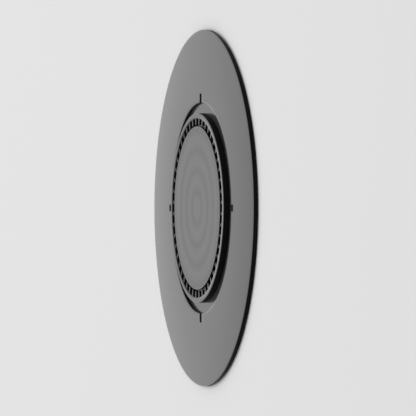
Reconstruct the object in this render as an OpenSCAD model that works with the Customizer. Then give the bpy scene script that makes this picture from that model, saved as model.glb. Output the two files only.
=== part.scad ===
// Adhesive magnetic patch: a thin round disc with a foam back, a domed face and a toothed docking boss.
// The adhesive's underside lies in the plane z = 0 and the docking side faces +Z.
// Seen from the docking side, 12 o'clock is +Y and 3 o'clock is +X.

/* [Overall] */
// Outer diameter of the patch
patch_d = 60; // [52:0.5:80]

/* [Adhesive pad] */
// Thickness of the foam adhesive
pad_t = 0.35; // [0.2:0.05:1]
// How far the foam's edge stays behind the base plate's edge
pad_inset = 0.4; // [0.1:0.1:2]

/* [Base plate] */
// Thickness of the base plate at its edge
base_t = 0.35; // [0.3:0.05:1]
// Rounding of the lower outer edge
base_round = 0.1; // [0.02:0.01:0.2]
// Depth of the round recess that seats the docking ring and the steel disc
recess_depth = 0.15; // [0.1:0.01:0.2]
// Width of each lug in the recess that keeps the docking ring from turning
lug_w = 3; // [1:0.1:6]
// How far each lug stands in from the recess wall
lug_len = 0.9; // [0.4:0.1:1.1]

/* [Face ring] */
// Diameter of the opening around the docking boss
face_bore_d = 35.5; // [35:0.1:40]
// Height of the face at its outer edge, above the base plate
face_edge_h = 0.2; // [0.15:0.01:0.6]
// Rounding of the outer edge
face_round = 0.12; // [0.05:0.01:0.14]
// Slope of the domed face beside its opening, in degrees
slope_in = 0.5; // [0.2:0.1:2]
// Slope of the domed face at its outer edge, in degrees
slope_out = 3; // [2.5:0.1:6]
// Edge break around the opening
bore_break = 0.06; // [0.02:0.01:0.1]
// Width of each index notch
mark_w = 1.1; // [0.4:0.1:2]
// Radial length of each index notch
mark_len = 1.5; // [0.5:0.1:3]

/* [Docking ring] */
// Outer diameter of the boss
boss_d = 31.88; // [30:0.02:33]
// Height of the boss above the channel floor
boss_h = 1.15; // [0.85:0.05:3]
// Rounding of the boss's outer top edge
boss_round = 0.1; // [0.02:0.01:0.2]
// Radial width of the plain rim
rim_w = 0.84; // [0.5:0.02:1.2]
// Thickness of the flange that the face ring clamps
flange_t = 0.25; // [0.22:0.01:0.5]
// How far the flange reaches out under the face ring
flange_lap = 1.85; // [1.2:0.05:4]
// Number of teeth inside the rim
tooth_n = 48; // [24:4:60]
// Radial length of each tooth
tooth_len = 1.1; // [0.5:0.05:1.5]
// Width of each tooth where it leaves the rim
tooth_root_w = 0.75; // [0.7:0.05:1.2]
// Width of each tooth at its tip
tooth_tip_w = 0.44; // [0.4:0.02:1]
// Depth of the tooth tops below the rim
tooth_drop = 0.08; // [0.02:0.01:0.2]
// Depth of the slots between the teeth, below the rim
slot_depth = 0.6; // [0.5:0.05:0.8]
// Width of the ledge that carries the centre cap
ledge_w = 0.6; // [0.3:0.05:1]

/* [Centre cap] */
// Thickness of the centre cap
cap_t = 0.4; // [0.25:0.05:0.45]
// Rounding of the cap's top edge
cap_round = 0.08; // [0.02:0.01:0.15]
// Width of the ribs under the cap that keep the magnets apart
rib_w = 0.8; // [0.4:0.1:2]
// Radius of the round hub under the cap
hub_r = 3.4; // [1.5:0.1:6]

/* [Magnets] */
// Thickness of the steel disc behind the magnets
yoke_t = 0.25; // [0.15:0.05:0.35]

/* [Clearances] */
// Radial gap between the docking ring's flange and the recess, and beside each lug
flange_gap = 0.1; // [0.05:0.01:0.2]
// Gap between the face ring's stepped underside and the recess edge
step_gap = 0.1; // [0.05:0.01:0.3]
// Radial gap between the centre cap and the tooth tips
cap_gap = 0.25; // [0.15:0.01:0.5]
// How far the cap overhangs its ledge
cap_overhang = 0.15; // [0.05:0.01:0.3]
// Gap around the steel disc and around each magnet
magnet_gap = 0.15; // [0.05:0.01:0.3]
// Gap between the magnets' tops and the cap, and between the ribs and the steel disc
stack_gap = 0.03; // [0.01:0.01:0.06]

/* [Hidden] */

// Facets of a full turn where OpenSCAD draws it
$fn = 180;
// Steps in the arc of a small rounded edge
ROUND_STEPS = 4;
// Steps in the arc of the domed face
DOME_STEPS = 10;
// The magnets, the index notches and the lugs each come once per quarter turn
QUARTERS = 4;
QUARTER = 360 / QUARTERS;
// How far a cut or a joined stub runs past the surface it meets
OVER = 0.1;
// Directions of the magnets' middles
TOP = 90;
RIGHT = 0;
BOTTOM = 270;
LEFT = 180;

patch_r = patch_d / 2;

// Levels, from the adhesive's underside up
base_z = pad_t;
base_top_z = base_z + base_t;
recess_z = base_top_z - recess_depth;
channel_z = recess_z + flange_t;
rim_z = channel_z + boss_h;
tooth_z = rim_z - tooth_drop;
slot_z = rim_z - slot_depth;
ledge_z = rim_z - cap_t;
yoke_top_z = recess_z + yoke_t;
magnet_top_z = ledge_z - stack_gap;
face_edge_z = base_top_z + face_edge_h;

// Radii, from the edge of the boss in to the magnets
boss_r = boss_d / 2;
rim_in_r = boss_r - rim_w;
tooth_tip_r = rim_in_r - tooth_len;
cap_r = tooth_tip_r - cap_gap;
ledge_r = cap_r - cap_overhang;
ring_bore_r = ledge_r - ledge_w;
yoke_r = ring_bore_r - magnet_gap;
magnet_in_r = hub_r + magnet_gap;

// Radii, from the opening in the face ring outwards
face_bore_r = face_bore_d / 2;
flange_r = face_bore_r + flange_lap;
recess_r = flange_r + flange_gap;
step_r = recess_r + step_gap;

// The domed face is one arc: its radius and its centre follow from the slopes at its two edges
dome_r = (patch_r - face_bore_r) / (sin(slope_out) - sin(slope_in));
dome_centre_r = face_bore_r - dome_r * sin(slope_in);

// Height of the domed face at the radius r
function dome_z(r) = face_edge_z
    + sqrt(dome_r * dome_r - pow(r - dome_centre_r, 2))
    - sqrt(dome_r * dome_r - pow(patch_r - dome_centre_r, 2));

// Points of an arc about (r, z), from one angle to another
function arc(r, z, radius, from, to) =
    [for (i = [0:ROUND_STEPS])
        let (a = from + (to - from) * i / ROUND_STEPS)
        [r + radius * cos(a), z + radius * sin(a)]];

// Turns an outline of [radius, height] points about the patch's axis
module turned(outline) {
    rotate_extrude() polygon(outline);
}

// Places its child once in each quarter, starting at the given angle
module each_quarter(start) {
    for (i = [0:QUARTERS - 1])
        rotate(start + i * QUARTER) children();
}

// A bar that runs out along +X from one radius to another
module bar(from_r, to_r, width, from_z, to_z) {
    translate([from_r, -width / 2, from_z])
        cube([to_r - from_r, width, to_z - from_z]);
}

// Foam disc with adhesive on both faces
module adhesive_pad() {
    color("#1c1c1d")
        cylinder(r = patch_r - pad_inset, h = pad_t);
}

// Moulded black plate with a shallow recess and four lugs
module base_plate() {
    outline = concat(
        [[0, base_z]],
        arc(patch_r - base_round, base_z + base_round, base_round, -90, 0),
        [[patch_r, base_top_z], [recess_r, base_top_z], [recess_r, recess_z], [0, recess_z]]);
    color("#161617")
        union() {
            turned(outline);
            each_quarter(QUARTER / 2)
                bar(recess_r - lug_len, recess_r + OVER, lug_w, recess_z - OVER, base_top_z);
        }
}

// Thin steel disc that closes the magnets' field on the adhesive's side
module yoke_disc() {
    color("#9a9c9f")
        translate([0, 0, recess_z])
            cylinder(r = yoke_r, h = yoke_t);
}

// A quarter of a flat ring magnet, with its middle at the given direction
module magnet(direction) {
    half_split = rib_w / 2 + magnet_gap;
    corner_angle = QUARTER / 2;
    color("#b9babc")
        rotate(direction - corner_angle)
            intersection() {
                difference() {
                    translate([0, 0, yoke_top_z])
                        cylinder(r = yoke_r, h = magnet_top_z - yoke_top_z);
                    translate([0, 0, yoke_top_z - OVER])
                        cylinder(r = magnet_in_r, h = magnet_top_z - yoke_top_z + 2 * OVER);
                }
                translate([half_split, half_split, yoke_top_z - OVER])
                    cube([yoke_r, yoke_r, magnet_top_z - yoke_top_z + 2 * OVER]);
            }
}

module magnet_top() {
    magnet(TOP);
}

module magnet_right() {
    magnet(RIGHT);
}

module magnet_bottom() {
    magnet(BOTTOM);
}

module magnet_left() {
    magnet(LEFT);
}

// One tooth, tapered towards its tip, rooted in the rim and in the slot floor
module tooth() {
    translate([0, 0, slot_z - OVER])
        linear_extrude(height = tooth_z - slot_z + OVER)
            polygon([
                [tooth_tip_r, -tooth_tip_w / 2],
                [rim_in_r, -tooth_root_w / 2],
                [rim_in_r + OVER, -tooth_root_w / 2],
                [rim_in_r + OVER, tooth_root_w / 2],
                [rim_in_r, tooth_root_w / 2],
                [tooth_tip_r, tooth_tip_w / 2]]);
}

// Moulded ring: a clamped flange, the boss wall with its plain rim, and the teeth inside it
module dock_ring() {
    outline = concat(
        [[ring_bore_r, recess_z], [flange_r, recess_z], [flange_r, channel_z], [boss_r, channel_z]],
        arc(boss_r - boss_round, rim_z - boss_round, boss_round, 0, 90),
        [[rim_in_r, rim_z], [rim_in_r, slot_z], [ledge_r, slot_z], [ledge_r, ledge_z],
         [ring_bore_r, ledge_z]]);
    pitch = 360 / tooth_n;
    color("#343435")
        difference() {
            union() {
                turned(outline);
                for (i = [0:tooth_n - 1])
                    rotate((i + 0.5) * pitch) tooth();
            }
            each_quarter(QUARTER / 2)
                bar(recess_r - lug_len - flange_gap, flange_r + OVER, lug_w + 2 * flange_gap,
                    recess_z - OVER, channel_z + OVER);
        }
}

// Flat disc that closes the boss, with a hub and four ribs that hold the magnets apart
module centre_cap() {
    outline = concat(
        [[0, ledge_z], [cap_r, ledge_z]],
        arc(cap_r - cap_round, rim_z - cap_round, cap_round, 0, 90),
        [[0, rim_z]]);
    foot_z = yoke_top_z + stack_gap;
    color("#3a3a3b")
        union() {
            turned(outline);
            translate([0, 0, foot_z])
                cylinder(r = hub_r, h = ledge_z - foot_z + OVER);
            each_quarter(QUARTER / 2)
                bar(0, yoke_r, rib_w, foot_z, ledge_z + OVER);
        }
}

// Domed ring that covers the base plate, stepped underneath to clamp the flange, with four index notches
module face_ring() {
    outer_z = dome_z(patch_r - face_round);
    dome = [for (i = [1:DOME_STEPS])
        let (r = patch_r - face_round + (face_bore_r + bore_break - patch_r + face_round) * i / DOME_STEPS)
        [r, dome_z(r)]];
    outline = concat(
        [[face_bore_r, channel_z], [step_r, channel_z], [step_r, base_top_z], [patch_r, base_top_z]],
        arc(patch_r - face_round, outer_z - face_round, face_round, 0, 90),
        dome,
        [[face_bore_r, dome_z(face_bore_r) - bore_break]]);
    color("#3d3d3e")
        difference() {
            turned(outline);
            each_quarter(0)
                bar(face_bore_r - OVER, face_bore_r + mark_len, mark_w,
                    channel_z - OVER, dome_z(face_bore_r) + OVER);
        }
}

adhesive_pad();
base_plate();
yoke_disc();
magnet_top();
magnet_right();
magnet_bottom();
magnet_left();
dock_ring();
centre_cap();
face_ring();
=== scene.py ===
"""Looks of the adhesive magnetic patch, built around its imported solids. Sizes are in mm and levels in mm
above the adhesive's underside, and MM turns them into metres."""

import math

import bmesh
import bpy
from mathutils import Matrix, Vector


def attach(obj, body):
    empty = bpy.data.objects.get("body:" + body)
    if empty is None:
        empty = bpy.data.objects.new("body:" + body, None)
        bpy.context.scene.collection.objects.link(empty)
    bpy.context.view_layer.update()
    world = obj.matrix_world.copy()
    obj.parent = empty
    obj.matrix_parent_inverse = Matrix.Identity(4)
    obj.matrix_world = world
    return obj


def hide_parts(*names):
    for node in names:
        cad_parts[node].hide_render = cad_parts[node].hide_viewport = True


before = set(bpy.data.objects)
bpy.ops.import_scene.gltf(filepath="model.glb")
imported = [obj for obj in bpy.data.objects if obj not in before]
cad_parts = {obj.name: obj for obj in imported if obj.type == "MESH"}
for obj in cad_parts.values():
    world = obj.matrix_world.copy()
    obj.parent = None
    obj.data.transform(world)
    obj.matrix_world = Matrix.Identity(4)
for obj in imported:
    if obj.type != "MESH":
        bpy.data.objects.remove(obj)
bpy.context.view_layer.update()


# Adhesive pad: a disc of closed-cell black foam with adhesive on both faces, die-cut a little smaller than
# the plate above it. It is pressed thin when the patch is stuck down, so its cut edge is slightly hollow.

MM = 0.001
TURN_STEPS = 240
SAME_POINT = 0.0005 * MM
PAD_R = 29.6
PAD_T = 0.35
PAD_HOLLOW = 0.04
PAD_EDGE_STEPS = 6
BLUE_OF_BLACK = 1.03
FOAM_CELL = 0.12
FOAM_CELL_DEPTH = 0.012
FOAM_TONES = (0.006, 0.016)
FOAM_ROUGHNESS = (0.75, 0.9)
FOAM_WORN_PATCH = 3.0
FOAM_GLOSS = 0.2


def turned(outline):
    """A bmesh of an outline of (radius, height) points, spun about the patch's axis. One that starts on the
    axis stays open there, and any other is a closed ring."""
    mesh = bmesh.new()
    points = [mesh.verts.new((r * MM, 0, z * MM)) for r, z in outline]
    edges = [mesh.edges.new(pair) for pair in zip(points, points[1:])]
    if outline[0][0] > 0:
        edges.append(mesh.edges.new((points[-1], points[0])))
    bmesh.ops.spin(
        mesh, geom=points + edges, cent=(0, 0, 0), axis=(0, 0, 1), dvec=(0, 0, 0), angle=2 * math.pi,
        steps=TURN_STEPS, use_merge=True, use_normal_flip=False, use_duplicate=False)
    bmesh.ops.remove_doubles(mesh, verts=mesh.verts, dist=SAME_POINT)
    bmesh.ops.recalc_face_normals(mesh, faces=mesh.faces)
    return mesh


def as_object(name, mesh):
    """An object that holds a bmesh, which it frees."""
    data = bpy.data.meshes.new(name)
    mesh.to_mesh(data)
    mesh.free()
    piece = bpy.data.objects.new(name, data)
    bpy.context.scene.collection.objects.link(piece)
    return piece


def material_nodes(name):
    """A new material, its node tree and its shader."""
    material = bpy.data.materials.new(name)
    material.use_nodes = True
    tree = material.node_tree
    return material, tree, tree.nodes["Principled BSDF"]


def noise(tree, cell_mm):
    """A noise over the piece's own coordinates, with cells of about that size."""
    where = tree.nodes.new("ShaderNodeTexCoord")
    pattern = tree.nodes.new("ShaderNodeTexNoise")
    pattern.inputs["Scale"].default_value = 1 / (cell_mm * MM)
    tree.links.new(where.outputs["Object"], pattern.inputs["Vector"])
    return pattern.outputs["Fac"]


def spread(tree, value, low, high):
    """A value from 0 to 1 spread over low to high."""
    node = tree.nodes.new("ShaderNodeMapRange")
    node.inputs["To Min"].default_value = low
    node.inputs["To Max"].default_value = high
    tree.links.new(value, node.inputs["Value"])
    return node.outputs["Result"]


def tones(tree, value, dark, light):
    """A near-neutral grey between two levels, led by a value from 0 to 1."""
    ramp = tree.nodes.new("ShaderNodeValToRGB")
    ramp.color_ramp.elements[0].color = (dark, dark, dark * BLUE_OF_BLACK, 1)
    ramp.color_ramp.elements[1].color = (light, light, light * BLUE_OF_BLACK, 1)
    tree.links.new(value, ramp.inputs["Fac"])
    return ramp.outputs["Color"]


def bump(tree, shader, height, depth_mm, below=None):
    """Gives the shader a bump of that depth, on top of another bump if one is given."""
    node = tree.nodes.new("ShaderNodeBump")
    node.inputs["Distance"].default_value = depth_mm * MM
    tree.links.new(height, node.inputs["Height"])
    if below is not None:
        tree.links.new(below, node.inputs["Normal"])
    tree.links.new(node.outputs["Normal"], shader.inputs["Normal"])
    return node.outputs["Normal"]


def black_foam():
    """Black closed-cell foam: dull, with fine burst cells on the cut edge."""
    material, tree, shader = material_nodes("foam_black")
    where = tree.nodes.new("ShaderNodeTexCoord")
    cells = tree.nodes.new("ShaderNodeTexVoronoi")
    cells.inputs["Scale"].default_value = 1 / (FOAM_CELL * MM)
    tree.links.new(where.outputs["Object"], cells.inputs["Vector"])
    tree.links.new(tones(tree, cells.outputs["Distance"], *FOAM_TONES), shader.inputs["Base Color"])
    tree.links.new(spread(tree, noise(tree, FOAM_WORN_PATCH), *FOAM_ROUGHNESS), shader.inputs["Roughness"])
    shader.inputs["Specular IOR Level"].default_value = FOAM_GLOSS
    bump(tree, shader, cells.outputs["Distance"], FOAM_CELL_DEPTH)
    return material


def dress(piece, *finishes):
    """Gives a piece these materials in place of any that it has."""
    piece.data.materials.clear()
    for finish in finishes:
        piece.data.materials.append(finish)


pad_edge = [
    (PAD_R - PAD_HOLLOW * math.sin(math.pi * i / PAD_EDGE_STEPS), PAD_T * i / PAD_EDGE_STEPS)
    for i in range(PAD_EDGE_STEPS + 1)]
pad = as_object("foam_pad", turned([(0, 0)] + pad_edge + [(0, PAD_T)]))
dress(pad, black_foam())
pad.data.shade_smooth()
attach(pad, "root")
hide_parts("adhesive_pad")


# Base plate: a thin injection-moulded disc in black glass-filled plastic, which makes the patch's black edge.
# A shallow recess seats the docking ring and the steel disc, and four lugs in it stop the ring from turning.

PATCH_R = 30.0
BASE_TOP = 0.70
BASE_ROUND = 0.1
RECESS_Z = 0.55
RECESS_R = 19.7
QUARTERS = 4
HALF_QUARTER_DEG = 45
LUG_LEN = 0.9
LUG_W = 3.0
OVER = 0.1
ARC_STEPS = 5
SOFT_EDGE = 0.03
SOFT_EDGE_STEPS = 2
SHARP_FROM_DEG = 28
DULL_BLACK_AND_WALL_SHADE_TONES = (0.002, 0.005)
DULL_MOTTLE = 1.5
DULL_ROUGHNESS = (0.38, 0.5)
DULL_ROUGHNESS_PATCH = 4.0
DULL_GLOSS = 0.06
SPARK_GRAIN = 0.12
SPARK_GRAIN_DEPTH = 0.002


def arc(r, z, radius, first_deg, last_deg):
    """Points of an arc about (r, z), for an outline."""
    turns = [math.radians(first_deg + (last_deg - first_deg) * i / ARC_STEPS) for i in range(ARC_STEPS + 1)]
    return [(r + radius * math.cos(t), z + radius * math.sin(t)) for t in turns]


def bars(start_deg, from_r, to_r, width, from_z, to_z):
    """A bmesh of four radial bars, one in each quarter."""
    mesh = bmesh.new()
    size = Vector((to_r - from_r, width, to_z - from_z)) * MM
    middle = Vector(((from_r + to_r) / 2, 0, (from_z + to_z) / 2)) * MM
    for i in range(QUARTERS):
        turn = Matrix.Rotation(math.radians(start_deg + i * 360 / QUARTERS), 4, "Z")
        place = turn @ Matrix.Translation(middle) @ Matrix.Diagonal((*size, 1))
        bmesh.ops.create_cube(mesh, size=1, matrix=place)
    return mesh


def weld(data):
    """Merges the points of a mesh that lie in one place."""
    mesh = bmesh.new()
    mesh.from_mesh(data)
    bmesh.ops.remove_doubles(mesh, verts=mesh.verts, dist=SAME_POINT)
    bmesh.ops.dissolve_degenerate(mesh, edges=mesh.edges, dist=SAME_POINT)
    mesh.to_mesh(data)
    mesh.free()


def combine(piece, tool_mesh, operation):
    """Cuts a bmesh from the piece, or joins it to the piece, and keeps the result as the piece's own mesh."""
    tool = as_object("tool", tool_mesh)
    step = piece.modifiers.new("combine", "BOOLEAN")
    step.operation = operation
    step.solver = "EXACT"
    step.object = tool
    bpy.context.view_layer.update()
    made = bpy.data.meshes.new_from_object(piece.evaluated_get(bpy.context.evaluated_depsgraph_get()))
    piece.modifiers.clear()
    piece.data = made
    bpy.data.objects.remove(tool)
    weld(made)


def soften(piece):
    """Rounds the piece's sharp edges and keeps its flat faces flat in the light."""
    edge = piece.modifiers.new("soft_edges", "BEVEL")
    edge.width = SOFT_EDGE * MM
    edge.segments = SOFT_EDGE_STEPS
    edge.limit_method = "ANGLE"
    edge.angle_limit = math.radians(SHARP_FROM_DEG)
    piece.data.shade_smooth()
    weighted = piece.modifiers.new("flat_faces", "WEIGHTED_NORMAL")
    weighted.keep_sharp = True


def black_plastic_and_wall_shade():
    """Black glass-filled plastic with the fine spark-eroded texture of its mould. It is also laid on the
    walls of the docking ring, cap and face ring as painted shade, darker than their tops.
    """
    material, tree, shader = material_nodes("plastic_black_and_wall_shade")
    tree.links.new(tones(tree, noise(tree, DULL_MOTTLE), *DULL_BLACK_AND_WALL_SHADE_TONES), shader.inputs["Base Color"])
    roughness = spread(tree, noise(tree, DULL_ROUGHNESS_PATCH), *DULL_ROUGHNESS)
    tree.links.new(roughness, shader.inputs["Roughness"])
    shader.inputs["Specular IOR Level"].default_value = DULL_GLOSS
    bump(tree, shader, noise(tree, SPARK_GRAIN), SPARK_GRAIN_DEPTH)
    return material


plate = as_object("moulded_base", turned(
    [(0, PAD_T)]
    + arc(PATCH_R - BASE_ROUND, PAD_T + BASE_ROUND, BASE_ROUND, -90, 0)
    + [(PATCH_R, BASE_TOP), (RECESS_R, BASE_TOP), (RECESS_R, RECESS_Z), (0, RECESS_Z)]))
combine(plate, bars(HALF_QUARTER_DEG, RECESS_R - LUG_LEN, RECESS_R + OVER, LUG_W, RECESS_Z - OVER, BASE_TOP),
        "UNION")
soften(plate)
dull_black_and_wall_shade = black_plastic_and_wall_shade()
dress(plate, dull_black_and_wall_shade)
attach(plate, "root")
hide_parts("base_plate")


# Steel disc and magnets: a zinc-plated steel disc lies in the recess, and four quarters of a flat ring
# magnet, sintered and nickel plated, lie on it. Closed in by the cap, they keep their CAD solids.

ZINC_TONE = 0.55
ZINC_ROUGHNESS = 0.3
NICKEL_TONE = 0.62
NICKEL_ROUGHNESS = 0.18
PLATING_DARKER = 0.9
PLATING_ROUGHER = 0.1
PLATING_MOTTLE = 2.0
PLATING_ROUGHNESS_PATCH = 0.5
PLATING_GRAIN = 0.2
PLATING_GRAIN_DEPTH = 0.001


def plated_metal(name, tone, roughness):
    """Plated metal with a faint mottle."""
    material, tree, shader = material_nodes(name)
    colour = tones(tree, noise(tree, PLATING_MOTTLE), tone * PLATING_DARKER, tone)
    tree.links.new(colour, shader.inputs["Base Color"])
    polish = spread(tree, noise(tree, PLATING_ROUGHNESS_PATCH), roughness, roughness + PLATING_ROUGHER)
    tree.links.new(polish, shader.inputs["Roughness"])
    shader.inputs["Metallic"].default_value = 1.0
    bump(tree, shader, noise(tree, PLATING_GRAIN), PLATING_GRAIN_DEPTH)
    return material


dress(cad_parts["yoke_disc"], plated_metal("steel_zinc_plated", ZINC_TONE, ZINC_ROUGHNESS))
nickel = plated_metal("magnet_nickel_plated", NICKEL_TONE, NICKEL_ROUGHNESS)
for name in ("magnet_top", "magnet_right", "magnet_bottom", "magnet_left"):
    dress(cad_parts[name], nickel)


# Docking ring: one black moulding with a flange that the face ring clamps, a low round boss wall and 48
# tapered teeth inside its rim. The tops of its rim and flange are polished to a satin in the mould. Its walls
# are dull and painted a darker black than the tops, as painted shade, and the tops of its teeth and the
# floors of its slots are painted near-black, as painted shade in the toothed groove.

BORE_R = 13.0
FLANGE_R = 19.6
CHANNEL_Z = 0.80
BOSS_R = 15.94
BOSS_ROUND = 0.1
RIM_Z = 1.95
RIM_IN_R = 15.1
TOOTH_N = 48
TOOTH_TIP_R = 14.0
TOOTH_ROOT_W = 0.75
TOOTH_TIP_W = 0.44
TOOTH_Z = 1.87
SLOT_Z = 1.35
LEDGE_R = 13.6
LEDGE_Z = 1.55
FLANGE_GAP = 0.1
FACING_UP = 0.5
SATIN_TONES = (0.032, 0.038)
SATIN_MOTTLE = 6.0
SATIN_ROUGHNESS = (0.14, 0.18)
SATIN_ROUGHNESS_PATCH = 1.2
SATIN_GLOSS = 0.65
SATIN_GRAIN = 0.35
SATIN_GRAIN_DEPTH = 0.0003
GROOVE_SHADE_TONES = (0.004, 0.007)
GROOVE_ROUGHNESS = (0.26, 0.32)
GROOVE_GLOSS = 0.5


def teeth():
    """A bmesh of the tapered teeth, rooted in the rim and in the slot floor."""
    mesh = bmesh.new()
    from_r, to_r = TOOTH_TIP_R, RIM_IN_R + OVER
    size = Vector((to_r - from_r, 1, TOOTH_Z - SLOT_Z + OVER)) * MM
    middle = Vector(((from_r + to_r) / 2, 0, (TOOTH_Z + SLOT_Z - OVER) / 2)) * MM
    for i in range(TOOTH_N):
        place = Matrix.Translation(middle) @ Matrix.Diagonal((*size, 1))
        made = bmesh.ops.create_cube(mesh, size=1, matrix=place)["verts"]
        for corner in made:
            corner.co.y *= TOOTH_TIP_W if corner.co.x < middle.x else TOOTH_ROOT_W
        turn = Matrix.Rotation(math.radians((i + 0.5) * 360 / TOOTH_N), 4, "Z")
        bmesh.ops.transform(mesh, matrix=turn, verts=made)
    return mesh


def satin_plastic(name, tone_range, roughness_range, gloss):
    """Black plastic from a polished mould: it mirrors a pale room at a shallow angle."""
    material, tree, shader = material_nodes(name)
    tree.links.new(tones(tree, noise(tree, SATIN_MOTTLE), *tone_range), shader.inputs["Base Color"])
    roughness = spread(tree, noise(tree, SATIN_ROUGHNESS_PATCH), *roughness_range)
    tree.links.new(roughness, shader.inputs["Roughness"])
    shader.inputs["Specular IOR Level"].default_value = gloss
    bump(tree, shader, noise(tree, SATIN_GRAIN), SATIN_GRAIN_DEPTH)
    return material


def tops_and_shaded_walls(piece, upper, walls):
    """Gives the faces that look up one material and the rest another, darker one, which paints shade on the
    walls.
    """
    dress(piece, upper, walls)
    for face in piece.data.polygons:
        face.material_index = 0 if face.normal.z > FACING_UP else 1


ring = as_object("toothed_ring", turned(
    [(BORE_R, RECESS_Z), (FLANGE_R, RECESS_Z), (FLANGE_R, CHANNEL_Z), (BOSS_R, CHANNEL_Z)]
    + arc(BOSS_R - BOSS_ROUND, RIM_Z - BOSS_ROUND, BOSS_ROUND, 0, 90)
    + [(RIM_IN_R, RIM_Z), (RIM_IN_R, SLOT_Z), (LEDGE_R, SLOT_Z), (LEDGE_R, LEDGE_Z), (BORE_R, LEDGE_Z)]))
combine(ring, teeth(), "UNION")
combine(ring, bars(HALF_QUARTER_DEG, RECESS_R - LUG_LEN - FLANGE_GAP, FLANGE_R + OVER,
                   LUG_W + 2 * FLANGE_GAP, RECESS_Z - OVER, CHANNEL_Z + OVER), "DIFFERENCE")
soften(ring)
# The walls get the darker black as painted shade, and the tops get the satin.
tops_and_shaded_walls(ring, satin_plastic("plastic_satin", SATIN_TONES, SATIN_ROUGHNESS, SATIN_GLOSS), dull_black_and_wall_shade)
# The up-facing faces inside the rim, the tops of the teeth and the floors of the slots, get a near-black as
# painted shade in the groove.
groove_shade = satin_plastic("plastic_groove_shade", GROOVE_SHADE_TONES, GROOVE_ROUGHNESS, GROOVE_GLOSS)
ring.data.materials.append(groove_shade)
for facet in ring.data.polygons:
    if facet.normal.z > FACING_UP and facet.center.xy.length < RIM_IN_R * MM:
        facet.material_index = ring.data.materials.find(groove_shade.name)
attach(ring, "root")
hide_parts("dock_ring")


# Centre cap: a flat moulded disc that closes the boss over the magnets. Its top carries fine turned rings
# from its mould insert, and a hub and four ribs under it hold the magnets apart.

CAP_R = 13.75
CAP_ROUND = 0.08
RIB_W = 0.8
RIB_R = 12.85
HUB_R = 3.4
FOOT_Z = 0.83
FINE_PITCH = 0.6
FINE_CREST_R = 0.0
FINE_DEPTH = 0.0003
BROAD_PITCH = 3.4
BROAD_CREST_R = 1.2
DULL_BAND = 0.27
BRIGHT_BAND = 0.13
CAP_GRAIN_DEPTH = 0.0002


def ring_wave(tree, pitch_mm, crest_r_mm):
    """A wave from 0 to 1 in rings about the axis, with a crest at the given radius."""
    where = tree.nodes.new("ShaderNodeTexCoord")
    flat = tree.nodes.new("ShaderNodeVectorMath")
    flat.operation = "MULTIPLY"
    flat.inputs[1].default_value = (1, 1, 0)
    tree.links.new(where.outputs["Object"], flat.inputs[0])
    radius = tree.nodes.new("ShaderNodeVectorMath")
    radius.operation = "LENGTH"
    tree.links.new(flat.outputs["Vector"], radius.inputs[0])
    phase = tree.nodes.new("ShaderNodeMath")
    phase.operation = "MULTIPLY_ADD"
    phase.inputs[1].default_value = 2 * math.pi / (pitch_mm * MM)
    phase.inputs[2].default_value = -2 * math.pi * crest_r_mm / pitch_mm
    tree.links.new(radius.outputs["Value"], phase.inputs[0])
    wave = tree.nodes.new("ShaderNodeMath")
    wave.operation = "COSINE"
    tree.links.new(phase.outputs["Value"], wave.inputs[0])
    half = tree.nodes.new("ShaderNodeMath")
    half.operation = "MULTIPLY_ADD"
    half.inputs[1].default_value = 0.5
    half.inputs[2].default_value = 0.5
    tree.links.new(wave.outputs["Value"], half.inputs[0])
    return half.outputs["Value"]


def ringed_plastic():
    """The satin plastic with fine turned rings, and broader bands where the polish is a little duller."""
    material, tree, shader = material_nodes("plastic_turned_rings")
    fine = ring_wave(tree, FINE_PITCH, FINE_CREST_R)
    broad = ring_wave(tree, BROAD_PITCH, BROAD_CREST_R)
    tree.links.new(tones(tree, noise(tree, SATIN_MOTTLE), *SATIN_TONES), shader.inputs["Base Color"])
    tree.links.new(spread(tree, broad, DULL_BAND, BRIGHT_BAND), shader.inputs["Roughness"])
    shader.inputs["Specular IOR Level"].default_value = SATIN_GLOSS
    turned_rings = bump(tree, shader, fine, FINE_DEPTH)
    bump(tree, shader, noise(tree, SATIN_GRAIN), CAP_GRAIN_DEPTH, turned_rings)
    return material


cap = as_object("ringed_cap", turned(
    [(0, LEDGE_Z), (CAP_R, LEDGE_Z)]
    + arc(CAP_R - CAP_ROUND, RIM_Z - CAP_ROUND, CAP_ROUND, 0, 90)
    + [(0, RIM_Z)]))
hub = turned([(0, FOOT_Z), (HUB_R, FOOT_Z), (HUB_R, LEDGE_Z + OVER), (0, LEDGE_Z + OVER)])
combine(cap, hub, "UNION")
combine(cap, bars(HALF_QUARTER_DEG, HUB_R - OVER, RIB_R, RIB_W, FOOT_Z, LEDGE_Z + OVER), "UNION")
soften(cap)
# The cap's side gets the darker black as painted shade, and its top gets the ringed satin.
tops_and_shaded_walls(cap, ringed_plastic(), dull_black_and_wall_shade)
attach(cap, "root")
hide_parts("centre_cap")


# Face ring: the wide domed ring over the base plate, one moulding, stepped underneath where it clamps the
# docking ring's flange. Four index notches at its opening mark the quarter turns.

FACE_BORE_R = 17.75
FACE_EDGE_Z = 0.90
FACE_ROUND = 0.12
STEP_R = 19.8
SLOPE_IN_DEG = 0.5
SLOPE_OUT_DEG = 3.0
DOME_STEPS = 24
NOTCH_W = 1.1
NOTCH_LEN = 1.5
FACE_TONES = (0.047, 0.055)

slope_in = math.sin(math.radians(SLOPE_IN_DEG))
slope_out = math.sin(math.radians(SLOPE_OUT_DEG))
dome_r = (PATCH_R - FACE_BORE_R) / (slope_out - slope_in)
dome_middle_r = FACE_BORE_R - dome_r * slope_in


def dome_z(r):
    """Height of the domed face at a radius."""
    edge = math.sqrt(dome_r ** 2 - (PATCH_R - dome_middle_r) ** 2)
    return FACE_EDGE_Z + math.sqrt(dome_r ** 2 - (r - dome_middle_r) ** 2) - edge


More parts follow.
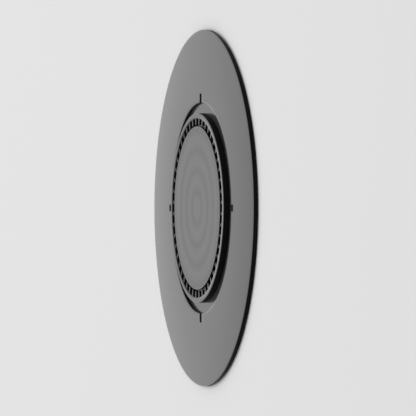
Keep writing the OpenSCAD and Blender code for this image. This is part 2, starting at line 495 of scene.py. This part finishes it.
face_out_r = PATCH_R - FACE_ROUND
face_out_z = dome_z(face_out_r)
dome_radii = [face_out_r + (FACE_BORE_R - face_out_r) * i / DOME_STEPS for i in range(1, DOME_STEPS + 1)]
face = as_object("domed_face", turned(
    [(FACE_BORE_R, CHANNEL_Z), (STEP_R, CHANNEL_Z), (STEP_R, BASE_TOP), (PATCH_R, BASE_TOP)]
    + arc(face_out_r, face_out_z - FACE_ROUND, FACE_ROUND, 0, 90)
    + [(r, dome_z(r)) for r in dome_radii]))
combine(face, bars(0, FACE_BORE_R - OVER, FACE_BORE_R + NOTCH_LEN, NOTCH_W, CHANNEL_Z - OVER,
                   dome_z(FACE_BORE_R) + OVER), "DIFFERENCE")
soften(face)
# The faces of the face ring that don't look up get the darker black as painted shade.
tops_and_shaded_walls(face, satin_plastic("plastic_face_satin", FACE_TONES, SATIN_ROUGHNESS, SATIN_GLOSS), dull_black_and_wall_shade)
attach(face, "root")
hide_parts("face_ring")


# Stage: a pale matt floor under the patch, a pale room that is whitest low down, and two soft lights,
# overhead and low on the far side. The camera looks across the docking side at a shallow angle, with 12
# o'clock at the top. Places and sizes here are in metres, apart from the camera's sensor.

FLOOR_SIDE = 12.0
FLOOR_LEVEL = 0.78
FLOOR_ROUGHNESS = 0.9
ROOM_LEVEL = 0.62
LOW_SEEN = 1.0
HIGH_SEEN = 0.67
LOW_SINE = 0.18
HIGH_SINE = 0.4
OVERHEAD_PLACE = (-0.1, 0.07, 0.9)
OVERHEAD_SIDE = 0.85
OVERHEAD_WATTS = 3.3
FAR_PLACE = (-1.1, 0.25, 0.45)
FAR_SIDE = 0.5
FAR_WATTS = 2.0
VIEW_UP_DEG = 16.2
VIEW_DISTANCE = 1.43
VIEW_HEIGHT = 0.070
SENSOR_MM = 36.0

floor_mesh = bmesh.new()
bmesh.ops.create_grid(floor_mesh, x_segments=1, y_segments=1, size=FLOOR_SIDE / 2)
floor = as_object("floor", floor_mesh)
floor_material, floor_tree, floor_shader = material_nodes("floor_pale")
floor_shader.inputs["Base Color"].default_value = (FLOOR_LEVEL, FLOOR_LEVEL, FLOOR_LEVEL, 1)
floor_shader.inputs["Roughness"].default_value = FLOOR_ROUGHNESS
floor_shader.inputs["Specular IOR Level"].default_value = 0.0
dress(floor, floor_material)

world = bpy.data.worlds.new("pale_room")
bpy.context.scene.world = world
world.use_nodes = True
room = world.node_tree
room.nodes.clear()
lit = room.nodes.new("ShaderNodeBackground")
lit.inputs["Color"].default_value = (ROOM_LEVEL, ROOM_LEVEL, ROOM_LEVEL, 1)
towards = room.nodes.new("ShaderNodeTexCoord")
height = room.nodes.new("ShaderNodeSeparateXYZ")
room.links.new(towards.outputs["Generated"], height.inputs["Vector"])
fade = room.nodes.new("ShaderNodeMapRange")
fade.inputs["From Min"].default_value = LOW_SINE
fade.inputs["From Max"].default_value = HIGH_SINE
fade.inputs["To Min"].default_value = LOW_SEEN
fade.inputs["To Max"].default_value = HIGH_SEEN
room.links.new(height.outputs["Z"], fade.inputs["Value"])
seen = room.nodes.new("ShaderNodeBackground")
room.links.new(fade.outputs["Result"], seen.inputs["Color"])
ray = room.nodes.new("ShaderNodeLightPath")
first = room.nodes.new("ShaderNodeMath")
first.operation = "MAXIMUM"
either = room.nodes.new("ShaderNodeMath")
either.operation = "MAXIMUM"
blend = room.nodes.new("ShaderNodeMixShader")
out = room.nodes.new("ShaderNodeOutputWorld")
room.links.new(ray.outputs["Is Camera Ray"], first.inputs[0])
room.links.new(ray.outputs["Is Glossy Ray"], first.inputs[1])
room.links.new(first.outputs["Value"], either.inputs[0])
room.links.new(ray.outputs["Is Transmission Ray"], either.inputs[1])
room.links.new(either.outputs["Value"], blend.inputs["Fac"])
room.links.new(lit.outputs["Background"], blend.inputs[1])
room.links.new(seen.outputs["Background"], blend.inputs[2])
room.links.new(blend.outputs["Shader"], out.inputs["Surface"])


def soft_light(name, place, side, watts, mirrored):
    """A square soft light that faces the patch. It isn't seen itself, and mirrored says if gloss shows it."""
    data = bpy.data.lights.new(name, "AREA")
    data.size = side
    data.energy = watts
    lamp = bpy.data.objects.new(name, data)
    lamp.location = place
    lamp.rotation_euler = (-Vector(place)).to_track_quat("-Z", "Y").to_euler()
    lamp.visible_camera = False
    lamp.visible_glossy = mirrored
    bpy.context.scene.collection.objects.link(lamp)


soft_light("overhead", OVERHEAD_PLACE, OVERHEAD_SIDE, OVERHEAD_WATTS, True)
soft_light("far_side", FAR_PLACE, FAR_SIDE, FAR_WATTS, False)

angle = math.radians(VIEW_UP_DEG)
back = Vector((math.cos(angle), 0, math.sin(angle)))
right = Vector((math.sin(angle), 0, -math.cos(angle)))
up = Vector((0, 1, 0))
turned_view = Matrix((right, up, back)).transposed().to_4x4()
camera_data = bpy.data.cameras.new("camera")
camera_data.sensor_width = SENSOR_MM
camera_data.lens = SENSOR_MM * VIEW_DISTANCE / VIEW_HEIGHT
camera = bpy.data.objects.new("camera", camera_data)
camera.matrix_world = Matrix.Translation(back * VIEW_DISTANCE) @ turned_view
bpy.context.scene.collection.objects.link(camera)
bpy.context.scene.camera = camera
bpy.context.scene.view_settings.view_transform = "Standard"
